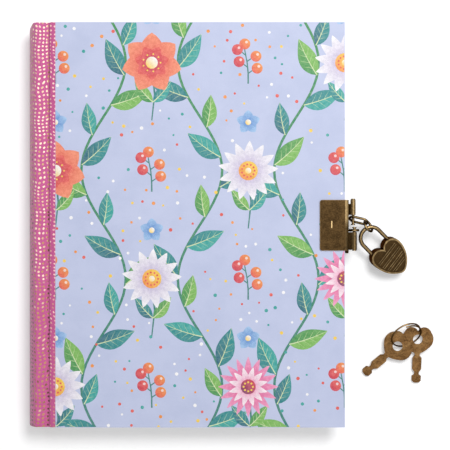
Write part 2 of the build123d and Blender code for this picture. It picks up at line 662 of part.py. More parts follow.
with BuildPart() as case_back:
    with BuildSketch(lock_plane(-CASE_H)):
        heart(0.0)
    extrude(amount=CASE_H)
    with BuildSketch(LEG_LONG):
        Circle(SHACKLE_R + 0.05)
    extrude(amount=LONG_LEG_U + 3.2, mode=Mode.SUBTRACT)
    with BuildSketch(LEG_SHORT):
        Circle(SHACKLE_R + 0.05)
    extrude(amount=SHORT_LEG_U + 3.2, mode=Mode.SUBTRACT)
    with BuildSketch(PLUG):
        Circle(PLUG_R + 0.05)
    extrude(amount=12, mode=Mode.SUBTRACT)
    with BuildSketch(lock_plane(-LATCH_W - 0.1)):
        with Locations(((5.55 + 9.15) / 2, (-5.2 + 4.3) / 2)):
            Rectangle(9.15 - 5.55, 4.3 + 5.2)
    extrude(amount=LATCH_W + 0.2, mode=Mode.SUBTRACT)
    with BuildSketch(lock_plane(-0.9)):
        with Locations((10.1, 0)):
            Rectangle(2.2, 1.8)
    extrude(amount=1.0, mode=Mode.SUBTRACT)
    with BuildSketch(lock_plane(-CASE_H - 1)):
        with Locations(*RIVETS):
            Circle(0.85)
    extrude(amount=CASE_H + 2, mode=Mode.SUBTRACT)
case_back.part.label = "case_back"
export_step(case_back.part, "parts/case_back.step")

with BuildSketch(lock_plane(CASE_H - 0.55)) as face_field:
    heart(-0.8)

RIB_SLANT = 8.0
RIB_PAIRS = (5.4, 8.5, 11.4, 14.1)

with BuildSketch(lock_plane(CASE_H - 0.55)) as rib_field:
    heart(-1.5)

# Four pairs of fine ribs, which end short of the rim
with BuildSketch(lock_plane(CASE_H - 0.55)) as face_ribs:
    with Locations(*[(u + 0.53 * s, 0) for u in RIB_PAIRS for s in (-1, 1)]):
        Rectangle(0.36, 26, rotation=RIB_SLANT)
    add(rib_field.sketch_local, mode=Mode.INTERSECT)

with BuildPart() as case_front:
    with BuildSketch(lock_plane(0.02)):
        heart(0.0)
    extrude(amount=CASE_H - 0.02)
    extrude(to_extrude=face_field.sketch, amount=2, mode=Mode.SUBTRACT)
    extrude(to_extrude=face_ribs.sketch, amount=0.4)
    with BuildSketch(LEG_LONG):
        Circle(SHACKLE_R + 0.05)
    extrude(amount=LONG_LEG_U + 3.2, mode=Mode.SUBTRACT)
    with BuildSketch(LEG_SHORT):
        Circle(SHACKLE_R + 0.05)
    extrude(amount=SHORT_LEG_U + 3.2, mode=Mode.SUBTRACT)
    with BuildSketch(PLUG):
        Circle(PLUG_R + 0.05)
    extrude(amount=12, mode=Mode.SUBTRACT)
    with BuildSketch(lock_plane(-0.1)):
        with Locations(((5.55 + 9.15) / 2, (-5.2 + 4.3) / 2)):
            Rectangle(9.15 - 5.55, 4.3 + 5.2)
    extrude(amount=LATCH_W + 0.2, mode=Mode.SUBTRACT)
    with BuildSketch(lock_plane(-0.1)):
        with Locations((10.1, 0)):
            Rectangle(2.2, 1.8)
    extrude(amount=1.0, mode=Mode.SUBTRACT)
    with BuildSketch(lock_plane(-0.1)):
        with Locations(*RIVETS):
            Circle(0.85)
    extrude(amount=2.1, mode=Mode.SUBTRACT)
case_front.part.label = "case_front"
export_step(case_front.part, "parts/case_front.step")

with BuildPart() as case_rivets:
    with BuildSketch(lock_plane(-CASE_H + 0.05)):
        with Locations(*RIVETS):
            Circle(0.8)
    extrude(amount=CASE_H + 1.8)
case_rivets.part.label = "case_rivets"
export_step(case_rivets.part, "parts/case_rivets.step")

with BuildPart() as latch:
    with BuildSketch(lock_plane(-LATCH_W)):
        with BuildLine():
            Polyline(
                (5.7, 0.8),
                (5.7, -5.55),
                (6.2, -5.55),
                (9.0, -4.57),
                (9.0, 0.8),
                close=True,
            )
        make_face()
    extrude(amount=2 * LATCH_W)
latch.part.label = "latch"
export_step(latch.part, "parts/latch.step")

# A bent leaf between the latch's tail and the end of its pocket.
with BuildPart() as latch_spring:
    with BuildSketch(lock_plane(-0.7)):
        with BuildLine():
            Polyline(
                (5.9, 4.2),
                (8.8, 4.2),
                (8.8, 3.9),
                (6.7, 3.9),
                (8.7, 2.6),
                (8.7, 2.35),
                (6.7, 0.95),
                (6.35, 0.95),
                (6.35, 1.1),
                (8.2, 2.47),
                (5.9, 3.95),
                close=True,
            )
        make_face()
    extrude(amount=1.4)
latch_spring.part.label = "latch_spring"
export_step(latch_spring.part, "parts/latch_spring.step")

# The plug's outer end follows the heart's tip and has the key slot; its inner end is a cam.
with BuildPart() as key_plug:
    with BuildSketch(PLUG.offset(0.1)):
        Circle(PLUG_R)
    extrude(amount=6.6)
    with BuildSketch(PLUG.offset(-0.9)):
        with Locations((0.0, 0.0)):
            Rectangle(1.2, 1.2)
    extrude(amount=1.2)
    with BuildSketch(PLUG.offset(1.6)):
        Rectangle(5.4, 1.25)
    extrude(amount=6, mode=Mode.SUBTRACT)
key_plug.part.label = "key_plug"
export_step(key_plug.part, "parts/key_plug.step")

# Keys and split ring

with BuildPart() as key_1:
    with BuildSketch(key_plane(KEY_1, KEY_1_DIR, KEY_1_DROP).offset(-KEY_T / 2)):
        key_outline()
        Circle(2.6, mode=Mode.SUBTRACT)
    extrude(amount=KEY_T)
key_1.part.label = "key_1"
export_step(key_1.part, "parts/key_1.step")

with BuildPart() as key_2:
    with BuildSketch(key_plane(KEY_2, KEY_2_DIR, KEY_2_DROP).offset(-KEY_T / 2)):
        key_outline()
        Circle(2.6, mode=Mode.SUBTRACT)
    extrude(amount=KEY_T)
key_2.part.label = "key_2"
export_step(key_2.part, "parts/key_2.step")

RING = Plane(
    origin=(EDGE_X + 33.803, -58.743, 6.783),
    x_dir=(0.9346, 0.3506, -0.0606),
    z_dir=(0.2951, -0.6686, 0.6825),
)
RING_TURNS = 1.284
RING_PITCH = 1.5

# The wire starts above the second key, runs once round and overlaps itself up that side.
with BuildPart() as split_ring:
    with BuildLine() as ring_path:
        add(
            RING.location
            * Location((0, 0, -1.25), (0, 0, -15.2))
            * Edge.make_helix(RING_PITCH, RING_PITCH * RING_TURNS, RING_R)
        )
    with BuildSketch(Plane(origin=ring_path.edges()[0] @ 0, z_dir=ring_path.edges()[0] % 0)):
        Circle(RING_WIRE_R)
    sweep(path=ring_path.edges()[0], is_frenet=True)
split_ring.part.label = "split_ring"
export_step(split_ring.part, "parts/split_ring.step")
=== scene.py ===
"""Looks of a hardback diary with a dotted cloth spine, a padlocked clasp and two keys.

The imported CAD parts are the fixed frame. Each operator dresses one piece or one group of
like pieces, and the stage comes last. Drawing sizes are in millimetres, objects in metres.
"""

import math
import random
from types import SimpleNamespace

import bmesh
import bpy
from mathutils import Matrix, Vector
from mathutils.geometry import delaunay_2d_cdt


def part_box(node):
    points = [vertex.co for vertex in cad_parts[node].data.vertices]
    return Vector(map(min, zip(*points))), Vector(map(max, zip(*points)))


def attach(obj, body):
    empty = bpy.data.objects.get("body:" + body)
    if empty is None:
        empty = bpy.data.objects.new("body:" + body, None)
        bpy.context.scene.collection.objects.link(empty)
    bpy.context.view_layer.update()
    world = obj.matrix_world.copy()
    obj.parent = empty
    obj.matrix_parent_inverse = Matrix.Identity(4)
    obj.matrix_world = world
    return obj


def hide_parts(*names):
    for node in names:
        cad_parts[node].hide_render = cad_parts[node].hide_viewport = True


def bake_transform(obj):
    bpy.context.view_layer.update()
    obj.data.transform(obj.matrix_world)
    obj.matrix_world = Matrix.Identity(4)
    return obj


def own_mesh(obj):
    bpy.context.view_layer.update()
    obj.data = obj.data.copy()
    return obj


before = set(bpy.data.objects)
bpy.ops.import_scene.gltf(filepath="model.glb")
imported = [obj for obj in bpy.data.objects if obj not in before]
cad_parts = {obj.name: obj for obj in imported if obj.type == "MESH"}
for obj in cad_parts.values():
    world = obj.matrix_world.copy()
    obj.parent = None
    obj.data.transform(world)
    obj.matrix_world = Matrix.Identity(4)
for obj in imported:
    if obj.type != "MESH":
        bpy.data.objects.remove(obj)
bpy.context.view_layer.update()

bl_info = {
    "name": "Padlocked diary",
    "version": (1, 0, 0),
    "blender": (4, 5, 0),
    "location": "3D View > Sidebar > Diary",
    "description": "Dresses a packed diary with its paper, cloth, pages and metal",
    "category": "Object",
}

MM = 0.001

# The book, as the frame has it
BOOK_TOP = 20.0
HALF_Y = 105.1
EDGE_X = 81.6
CLOTH_X1 = -68.5
SPINE_CX = -71.02
SPINE_R = 12.18
SPINE_ANG = math.radians(49.05)

# The print's gap to the cover's edges and to the cloth, its lift, and how many dots are tried
PRINT_MARGIN = 0.25
CLOTH_MARGIN = 0.1
PRINT_LIFT = 0.015
FRONT_DOTS = 900
BACK_DOTS = 500

# The cloth: where its hem starts, its roll there, and the worn corner at the head
HEM_Y = 100.0
HEM_ROLL = 0.45
HEAD_CUT_X = -80.6
HEAD_CUT_SLOPE = 1.23
# Where the cloth starts and ends to bend from the spine to a cover, along x and in height
FRONT_BEND = (18.8, 19.3)
BACK_BEND = (1.2, 0.7)
# Bands across the strip, from the middle of the spine outward
STEEP_END = (7.6, 10.2)
GROOVE_START = (16.4, 17.2)
GROOVE_END = (18.2, 19.2)
BOARD_START = (18.0, 19.2)

# The rounded back of the sewn leaves: its middle height and its radius
PAGE_MIDDLE = 10.05
PAGE_ROUND = 9.5

# Heights of the clip's raised mark over the cover, and stretches of the clips along x and y
MARK_RISE = (0.72, 0.85)
NOSE_START = (-0.2, 0.9)
NOSE_END = (1.4, 2.0)
BARREL_START = (3.6, 4.6)
UPPER_HALF = (-2.0, 4.0)

# The padlock's middle, the way out of its face, and the heights of its raised rim and ribs
LOCK_AT = Vector((100.9, -11.2, 7.05))
LOCK_OUT = Vector((0.122788, -0.122788, 0.984808))
RIM_RISE = (3.5, 3.66)
# Heights between the low tips of the keys and their propped bows
KEY_RISE = (1.0, 2.4)

# Stage, in metres
LAMP_AT = (0.27, 0.35, 0.84)
LAMP_AIM = Vector((0.02, 0.0, 0.01))
LAMP_SIZE = 0.42
CAMERA_XY = (0.01944, -0.00013)
FLOOR_HALF = 3.0
FLOOR_Z = -0.0003

BLACK = (0, 0, 0, 1)
WHITE = (1, 1, 1, 1)


def tone(red, green, blue):
    """A colour read as 0 to 255 on screen, as Blender's linear colour."""
    def linear(c):
        c /= 255.0
        return c / 12.92 if c <= 0.04045 else ((c + 0.055) / 1.055) ** 2.4

    return (linear(red), linear(green), linear(blue), 1.0)


def mixed(a, b, share):
    """A colour between two."""
    return tuple(p + (q - p) * share for p, q in zip(a, b))


class Wire:
    """A node's output. Its operators add Math nodes to the same tree."""

    def __init__(self, recipe, socket):
        self.recipe = recipe
        self.socket = socket

    def math(self, operation, first, second=0.0):
        return self.recipe.node("ShaderNodeMath", {0: first, 1: second}, operation=operation)

    def __add__(self, other):
        return self.math("ADD", self, other)

    __radd__ = __add__

    def __sub__(self, other):
        return self.math("SUBTRACT", self, other)

    def __rsub__(self, other):
        return self.math("SUBTRACT", other, self)

    def __mul__(self, other):
        return self.math("MULTIPLY", self, other)

    __rmul__ = __mul__

    def __pow__(self, other):
        return self.math("POWER", self, other)

    def least(self, other):
        return self.math("MINIMUM", self, other)

    def most(self, other):
        return self.math("MAXIMUM", self, other)

    def sine(self):
        return self.math("SINE", self)

    def size(self):
        return self.math("ABSOLUTE", self)

    def step(self, start, end):
        """0 below start, 1 above end and smooth between."""
        values = {"Value": self, "From Min": start, "From Max": end}
        return self.recipe.node("ShaderNodeMapRange", values, interpolation_type="SMOOTHSTEP")

    def out(self, name):
        """Another output of the same node."""
        return Wire(self.recipe, self.socket.node.outputs[name])


class Recipe:
    """A node tree that is being written, and the material that it is for, if any."""

    def __init__(self, tree, material=None):
        self.tree = tree
        self.material = material

    def node(self, kind, values=None, output=0, **settings):
        """Adds one node. A value that is a wire is linked, and any other is set."""
        made = self.tree.nodes.new(kind)
        for name, setting in settings.items():
            setattr(made, name, setting)
        for key, value in (values or {}).items():
            if isinstance(value, Wire):
                self.tree.links.new(value.socket, made.inputs[key])
            else:
                made.inputs[key].default_value = value
        return Wire(self, made.outputs[output] if len(made.outputs) else None)

    def place(self):
        """Object coordinates in millimetres, as a vector."""
        values = {0: self.node("ShaderNodeTexCoord", output="Object"), "Scale": 1 / MM}
        return self.node("ShaderNodeVectorMath", values, operation="SCALE")

    def lift(self):
        """How far the surface looks up in the piece's own space, from -1 to 1."""
        return self.parts(self.node("ShaderNodeTexCoord", output="Normal"))[2]

    def parts(self, vector):
        """The x, y and z of a vector."""
        split = self.node("ShaderNodeSeparateXYZ", {0: vector})
        return split.out("X"), split.out("Y"), split.out("Z")

    def vector(self, x, y, z=0.0):
        return self.node("ShaderNodeCombineXYZ", {0: x, 1: y, 2: z})

    def along(self, vector, origin, direction):
        """How far a place lies from an origin along a direction."""
        values = {0: vector, 1: direction}
        reach = self.node("ShaderNodeVectorMath", values, "Value", operation="DOT_PRODUCT")
        return reach - origin.dot(direction)

    def noise(self, vector, scale, detail=3.0, roughness=0.55):
        values = {"Vector": vector, "Scale": scale, "Detail": detail, "Roughness": roughness}
        return self.node("ShaderNodeTexNoise", values)

    def mix(self, share, first, second):
        """A colour between two, by a share."""
        values = {0: share, 6: first, 7: second}
        return self.node("ShaderNodeMix", values, 2, data_type="RGBA")

    def bump(self, height, strength, distance):
        """A relief whose full height is given in millimetres."""
        values = {"Height": height, "Strength": strength, "Distance": distance * MM}
        return self.node("ShaderNodeBump", values)

    def surface(self, colour, roughness, normal, more=None):
        """The surface shader and the output. Gives the finished material."""
        values = {"Base Color": colour, "Roughness": roughness, "Normal": normal, **(more or {})}
        shader = self.node("ShaderNodeBsdfPrincipled", values)
        self.node("ShaderNodeOutputMaterial", {"Surface": shader})
        return self.material


def new_finish(name):
    """The recipe of a new material."""
    material = bpy.data.materials.new(name)
    material.use_nodes = True
    material.node_tree.nodes.clear()
    return Recipe(material.node_tree, material)


def dress(material, *nodes):
    """Gives CAD nodes a finish in place of their plain one."""
    for name in nodes:
        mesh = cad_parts[name].data
        if mesh.materials:
            mesh.materials[0] = material
        else:
            mesh.materials.append(material)


def new_object(name, data):
    """Puts a mesh, lamp or camera in the scene."""
    made = bpy.data.objects.new(name, data)
    bpy.context.scene.collection.objects.link(made)
    return made


def add_piece(name, mesh, material):
    """Puts a mesh in the scene with the given material as its only one."""
    piece = new_object(name, mesh)
    mesh.materials.clear()
    mesh.materials.append(material)
    return piece


# Finishes


def plain_paper(name, colour, shade):
    """Uncoated paper: fibres and a soft tooth."""
    recipe = new_finish(name)
    fibres = recipe.noise(recipe.place(), 2.6, 4.0, 0.7)
    tint = recipe.mix(fibres.step(0.3, 0.75), colour, shade)
    return recipe.surface(tint, fibres * 0.15 + 0.72, recipe.bump(fibres, 0.15, 0.05))


def grey_board(name, colour, shade):
    """Pressed board with coarse flecks."""
    recipe = new_finish(name)
    flecks = recipe.noise(recipe.place(), 1.8, 5.0, 0.75)
    tint = recipe.mix(flecks.step(0.4, 0.62), colour, shade)
    return recipe.surface(tint, 0.9, recipe.bump(flecks, 0.3, 0.15))


def satin(recipe, colour, grain, roughness):
    """The smooth surface of the cover, with its fine grain."""
    tooth = recipe.bump(grain, 0.12, 0.05)
    return recipe.surface(colour, grain * 0.12 + roughness, tooth, {"Specular IOR Level": 0.35})


def cover_ground(name, colour, shade):
    """The cover paper's ground: satin, with a washed tint."""
    recipe = new_finish(name)
    place = recipe.place()
    wash = recipe.noise(place, 0.05, 4.0, 0.6)
    grain = recipe.noise(place, 1.5, 3.0, 0.6)
    share = (wash * 0.75 + grain * 0.25).step(0.38, 0.66)
    return satin(recipe, recipe.mix(share, colour, shade), grain, 0.48)


def printed_ink(name):
    """Ink whose colour is stored on the shapes, with a brushed mottle."""
    recipe = new_finish(name)
    place = recipe.place()
    ink = recipe.node("ShaderNodeAttribute", attribute_name="ink")
    mottle = recipe.noise(place, 0.55, 5.0, 0.65)
    grain = recipe.noise(place, 2.2, 3.0, 0.6)
    lighter = recipe.mix(0.1, ink, WHITE)
    darker = recipe.mix(0.18, ink, (0.06, 0.09, 0.16, 1.0))
    share = (mottle * 0.7 + grain * 0.3).step(0.36, 0.66)
    return satin(recipe, recipe.mix(share, darker, lighter), grain, 0.46)


def dotted_cloth(name, cloth, length, width):
    """Woven cloth with a foil dot in each cell of an uneven grid, with painted shade on the board
    strip and painted reflection on the dots. UV runs over the strip.
    """
    recipe = new_finish(name)
    uv = recipe.node("ShaderNodeUVMap", uv_map="strip")
    across, down, _ = recipe.parts(uv)
    across = across * width
    down = down * length
    drift = recipe.noise(recipe.vector(across * 0.14, down * 0.07), 1.0, 1.0)
    sway = (across * 0.62).sine() * 0.5 + (down * 0.16).sine() * 0.5 + drift * 3.0
    grid = recipe.vector(across * 0.95 + (down * 0.33).sine() * 0.4 + drift * 2.0, down + sway)
    values = {"Vector": grid, "Scale": 1 / cloth.dot_pitch, "Randomness": cloth.dot_scatter}
    cells = recipe.node("ShaderNodeTexVoronoi", values, voronoi_dimensions="2D")
    reach = cloth.dot_size / cloth.dot_pitch / 2
    on_board = across.step(*BOARD_START)
    foil = 1 - (cells * (1 + on_board * 0.16)).step(reach * 0.88, reach * 1.08)
    luck, worn, _ = recipe.parts(cells.out("Color"))
    warp = (across * (math.pi / cloth.thread)).sine()
    weft = (down * (math.pi / cloth.thread)).sine()
    weave = (warp * weft) * 0.5 + 0.5
    slub = recipe.noise(recipe.vector(across * 0.6, down * 0.15), 1.4, 4.0)
    thread = recipe.mix(
        (weave * 0.55 + slub * 0.45).step(0.25, 0.8), cloth.shade, cloth.ground
    )
    # Painted shade: the threads are darker on the flat board strip.
    thread = recipe.mix(on_board * 0.55, thread, cloth.shade)
    patches = recipe.noise(recipe.vector(across * 0.12, down * 0.035), 1.0, 2.0)
    # Painted reflection on the foil dots: lighter towards the head and on the board strip, darker
    # on the steep side and in the groove, with luck and patches varying them at random.
    steep = 1 - across.step(*STEEP_END)
    groove = across.step(*GROOVE_START) * (1 - across.step(*GROOVE_END))
    luck_and_painted_glint = luck * 0.5 + patches * 0.9 + (down * (1 / length) - 0.5) * 0.75 + on_board * 0.2
    bright = luck_and_painted_glint - steep.most(groove) * 0.55
    dull = recipe.mix(bright.step(0.0, 0.36), cloth.foil_dark, cloth.foil_dull)
    gold = recipe.mix(bright.step(0.5, 0.9), dull, cloth.foil)
    gold = recipe.mix(on_board * 0.35, gold, cloth.ground)
    rubbed_and_highlit = foil * (1 - worn.step(0.9, 1.0) * 0.5)
    return recipe.surface(
        recipe.mix(rubbed_and_highlit, thread, gold),
        0.82 - rubbed_and_highlit * 0.22,
        recipe.bump(weave * 0.5 + foil * 0.5, 0.3, 0.08),
        {"Metallic": rubbed_and_highlit * 0.35, "Sheen Weight": 0.5},
    )


def page_paper(name, colour, shade):
    """Leaf paper whose cut edges vary from sheet to sheet."""
    recipe = new_finish(name)
    place = recipe.place()
    x, y, z = recipe.parts(place)
    sheets = recipe.noise(recipe.vector(x * 0.02, y * 0.02, z * 7.0), 1.0, 2.0)
    fibres = recipe.noise(place, 3.0, 4.0, 0.7)
    cut_edge = 1 - recipe.lift().size().step(0.3, 0.8)
    share = (sheets * cut_edge * 0.65 + fibres * 0.35).step(0.1, 0.6)
    tint = recipe.mix(share, colour, shade)
    return recipe.surface(tint, 0.85, recipe.bump(fibres, 0.12, 0.04))


def woven_lining(name, colour, shade, pitch):
    """Open woven lining with a square mesh of threads."""
    recipe = new_finish(name)
    _, y, z = recipe.parts(recipe.place())
    threads = (y * (math.pi / pitch)).sine().size().most((z * (math.pi / pitch)).sine().size())
    tint = recipe.mix(threads.step(0.5, 0.95), shade, colour)
    return recipe.surface(tint, 0.9, recipe.bump(threads, 0.5, 0.1))


def band_silk(name, first, second, turn):
    """Two-colour silk wound over a core, one stripe to each turn."""
    recipe = new_finish(name)
    x, y, z = recipe.parts(recipe.place())
    wound = (z * (math.pi / turn) + y * 1.2).sine()
    fibre = recipe.noise(recipe.vector(x * 6.0, y * 6.0, z * 1.2), 1.0, 2.0)
    stripes = recipe.mix(wound.step(-0.15, 0.15), first, second)
    tint = recipe.mix(fibre * 0.3, stripes, (0.12, 0.04, 0.07, 1.0))
    return recipe.surface(tint, 0.55, recipe.bump(wound.size() + fibre * 0.3, 0.6, 0.2))


def aged_metal(name, dark, light, worn, scale, roughness, wear_and_highlight=None):
    """Antique plating: faint clouds of patina, a sandy speckle and bright places, worn by rubbing
    and, on some parts, painted highlight.

    wear_and_highlight is a function that makes the mask of worn places and painted highlights from
    the recipe and the place.
    """
    recipe = new_finish(name)
    place = recipe.place()
    clouds = recipe.noise(place, scale, 4.0, 0.6)
    speckle = recipe.noise(place, scale * 4.5, 4.0, 0.72)
    patina = (clouds * 0.4 + speckle * 0.6).step(0.38, 0.64)
    colour = recipe.mix(patina, dark, light)
    if wear_and_highlight is not None:
        # The mask holds worn places and, for some parts, painted highlights; both take the worn
        # colour.
        rubbed_and_highlit = wear_and_highlight(recipe, place) * (speckle.step(0.3, 0.6) * 0.45 + 0.55)
        colour = recipe.mix(rubbed_and_highlit, colour, worn)
        shine = rubbed_and_highlit * -0.1 + roughness
    else:
        shine = patina * 0.08 + (roughness - 0.04)
    return recipe.surface(
        colour,
        speckle * 0.2 + shine,
        recipe.bump(speckle, 0.25, 0.08),
        {"Metallic": 1.0, "Specular Tint": (0.4, 0.32, 0.22, 1.0)},
    )


# Settings


def colour_setting(name, default, description):
    """A colour that a user may change."""
    return bpy.props.FloatVectorProperty(
        name=name, default=default, description=description, subtype="COLOR", size=4, min=0, max=1
    )


def number_setting(name, default, description, **more):
    """A measure that a user may change."""
    return bpy.props.FloatProperty(name=name, default=default, description=description, **more)


class DiaryPaperSettings(bpy.types.PropertyGroup):
    """Printed paper, endpapers and board."""

    ground: colour_setting("Ground", tone(192, 199, 226), "Cover paper between the motifs")
    ground_shade: colour_setting("Ground shade", tone(184, 192, 220), "Wash in the ground")
    endpaper: colour_setting("Endpaper", tone(243, 236, 224), "Pastedowns and flyleaves")
    endpaper_shade: colour_setting("Endpaper shade", tone(235, 226, 211), "Fibres of the endpaper")
    column_pitch: number_setting(
        "Column pitch", 50.0, "Distance between two stems of the print, in millimetres", min=20.0
    )
    wave: number_setting("Wave", 112.0, "Length of one bend of a stem, in millimetres")
    swing: number_setting("Swing", 11.5, "How far a stem sways to a side, in millimetres")
    motif: number_setting("Motif size", 1.36, "Size of leaves, blooms and berries", min=0.5)
    seed: bpy.props.IntProperty(
        name="Seed", description="Fixes the scatter of the small dots", default=7
    )


class DiaryClothSettings(bpy.types.PropertyGroup):
    """The cloth of the spine and joints."""

    ground: colour_setting("Cloth", tone(218, 107, 167), "Raised threads")
    shade: colour_setting("Cloth shade", tone(182, 76, 130), "Sunk threads")
    foil: colour_setting("Foil", tone(250, 222, 196), "Bright foil dots")
    foil_dull: colour_setting("Dull foil", tone(190, 140, 96), "Foil dots out of the light")
    foil_dark: colour_setting("Dark foil", tone(92, 48, 40), "Foil dots that mirror the dark")
    dot_size: number_setting("Dot size", 1.16, "Diameter of a dot, in millimetres")
    dot_pitch: number_setting("Dot pitch", 2.12, "Distance between dots, in millimetres")
    dot_scatter: number_setting(
        "Scatter", 0.22, "How far dots leave their grid", subtype="FACTOR", min=0.0, max=1.0
    )
    thread: number_setting("Thread", 0.32, "Width of one thread, in millimetres")
    thickness: number_setting("Thickness", 0.17, "Cloth thickness, in millimetres")


class DiaryPageSettings(bpy.types.PropertyGroup):
    """The sewn leaves of the text block."""

    paper: colour_setting("Paper", tone(250, 248, 240), "Leaf paper")
    shade: colour_setting("Shade", tone(226, 220, 205), "Darker sheets at the cut edges")
    leaves: bpy.props.IntProperty(
        name="Leaves", description="Leaves in the sewn block", default=96, min=8
    )
    thickness: number_setting("Leaf thickness", 0.108, "Thickness of a leaf, in millimetres")
    jitter: number_setting("Unevenness", 0.12, "How far a leaf leaves the trim, in millimetres")
    seed: bpy.props.IntProperty(name="Seed", description="Fixes the unevenness", default=3)


class DiaryMetalSettings(bpy.types.PropertyGroup):
    """Clasp, padlock and keys."""

    bronze_dark: colour_setting("Dark bronze", tone(48, 35, 19), "Patina")
    bronze_light: colour_setting("Light bronze", tone(80, 61, 36), "Plating between patina")
    # Also the colour of the painted highlights on the clip's nose and barrels, the pins, eyes, link
    # ring and shackle.
    bronze_worn_and_highlight: colour_setting("Worn bronze", tone(204, 174, 124), "Rubbed edges")
    key_dark: colour_setting("Key dark", tone(82, 56, 31), "Patina on the keys")
    key_light: colour_setting("Key light", tone(138, 102, 62), "Brass of the keys")
    # Also the colour of the painted highlight along the split ring.
    key_worn_and_highlight: colour_setting("Key worn", tone(206, 168, 112), "Rubbed places on the keys")
    steel: colour_setting("Steel", tone(168, 166, 162), "Latch, spring and rivets")


class DiaryStageSettings(bpy.types.PropertyGroup):
    """Floor, light and camera."""

    lamp_power: number_setting("Lamp", 6.2, "Power of the main lamp", subtype="POWER")
    sky: number_setting("Sky", 0.56, "Strength of the light from all round")
    floor_glow: number_setting("Floor glow", 0.3, "Lifts the floor to white for the camera")
    camera_height: number_setting("Camera height", 0.668, "Above the table", unit="LENGTH")
    lens: number_setting("Lens", 100.0, "Focal length in millimetres")


# Print


class PrintSheet:
    """Flat shapes in millimetres, painted in order, inside a trimmed rectangle."""

    def __init__(self, low, high):
        self.points = []
        self.faces = []
        self.inks = []
        corners = [(low[0], low[1]), (high[0], low[1]), (high[0], high[1]), (low[0], high[1])]
        self.shape([Vector(c) for c in corners], WHITE)
        self.taken = []

    def shape(self, outline, ink, tip=None, root=None, run=None):
        """Adds one shape. Its ink may change to a tip colour along a run from a root."""
        area = sum(
            p.x * q.y - q.x * p.y for p, q in zip(outline, outline[1:] + outline[:1])
        )
        if area < 0:
            outline = outline[::-1]
        first = len(self.points)
        self.points.extend(outline)
        self.faces.append(list(range(first, first + len(outline))))
        self.inks.append((ink, tip or ink, root or Vector((0, 0)), run or Vector((1, 0))))

    def disc(self, centre, radius, ink, tip=None, sides=18):
        """A round spot, shaded from its lower left to its upper right."""
        ring = [centre + heading(360 * k / sides) * radius for k in range(sides)]
        slope = Vector((0.7, 0.7))
        self.shape(ring, ink, tip, centre - slope * radius, slope * 2 * radius)

    def ribbon(self, path, start, end, ink, tip=None):
        """A line whose width goes from start to end."""
        left, right = [], []
        last = len(path) - 1
        for k, p in enumerate(path):
            way = (path[min(k + 1, last)] - path[max(k - 1, 0)]).normalized()
            half = (start + (end - start) * k / last) / 2
            side = Vector((-way.y, way.x)) * half
            left.append(p + side)
            right.append(p - side)
        self.shape(left + right[::-1], ink, tip, path[0], path[-1] - path[0])

    def keep_clear(self, centre, radius):
        """Notes a place that the small dots keep out of."""
        self.taken.append((centre, radius))

    def cut(self, name, height, upward):
        """The visible shapes as one flat mesh, each corner with its ink."""
        cdt = delaunay_2d_cdt(self.points, [], self.faces, 1, 1e-5)
        points, _, triangles, _, _, sources = cdt
        kept, colours = [], []
        for triangle, covers in zip(triangles, sources):
            if 0 not in covers or max(covers) == 0:
                continue
            ink, tip, root, run = self.inks[max(covers)]
            a, b, c = (points[k] for k in triangle)
            turn = (b - a).cross(c - a)
            if abs(turn) < 1e-7:
                continue
            order = list(triangle) if (turn > 0) == upward else list(triangle)[::-1]
            kept.append(order)
            for k in order:
                share = (points[k] - root).dot(run) / run.length_squared
                colours.extend(mixed(ink, tip, min(1.0, max(0.0, share))))
        mesh = bpy.data.meshes.new(name)
        mesh.from_pydata([(p.x * MM, p.y * MM, height * MM) for p in points], [], kept)
        layer = mesh.attributes.new("ink", "FLOAT_COLOR", "CORNER")
        layer.data.foreach_set("color", colours)
        loose = bmesh.new()
        loose.from_mesh(mesh)
        bmesh.ops.delete(loose, geom=[v for v in loose.verts if not v.link_faces], context="VERTS")
        loose.to_mesh(mesh)
        loose.free()
        return mesh


INK = SimpleNamespace(
    stem=tone(34, 122, 110),
    deep=tone(0, 92, 112),
    teal=tone(0, 124, 128),
    teal_light=tone(40, 162, 152),
    green=tone(46, 140, 62),
    green_light=tone(120, 182, 74),
    mint=tone(166, 208, 120),
    rib=tone(214, 228, 176),
    white=tone(252, 250, 250),
    lilac=tone(204, 192, 222),
    coral=tone(230, 84, 66),
    coral_light=tone(246, 146, 104),
    red=tone(206, 46, 70),
    pink=tone(226, 72, 140),
    pink_light=tone(244, 158, 196),
    yellow=tone(250, 208, 64),
    orange=tone(242, 146, 48),
    plum=tone(122, 36, 88),
    blue=tone(88, 140, 206),
    blue_light=tone(164, 200, 236),
)


def heading(degrees):
    """A unit way on the sheet."""
    return Vector((math.cos(math.radians(degrees)), math.sin(math.radians(degrees))))


def draw_leaf(sheet, root, way, length, width, bend, inks):
    """A leaf in a dark and a light half, with its rib and side veins."""
    side = Vector((-way.y, way.x))
    dark, light, tip = inks

    def spot(t, across):
        spread = width / 2 * math.sin(math.pi * t ** 0.82)
        return root + way * (length * t) + side * (bend * length * t * t + across * spread)

    steps = [k / 10 for k in range(11)]
    middle = [spot(t, 0.0) for t in steps]
    for sign, ink in ((1, dark), (-1, light)):
        edge = [spot(t, sign) for t in reversed(steps[1:-1])]
        sheet.shape(middle + edge, ink, mixed(ink, tip, 0.55), root, way * length)
    for t in (0.2, 0.36, 0.52, 0.68):
        for sign in (1, -1):
            vein = [spot(t, 0.0), spot(t + 0.09, sign * 0.45), spot(t + 0.15, sign * 0.8)]
            sheet.ribbon(vein, 0.28, 0.1, mixed(light, INK.rib, 0.55))
    sheet.ribbon(middle, 0.55, 0.15, INK.rib)
    sheet.keep_clear(root + way * (length * 0.5), length * 0.42)


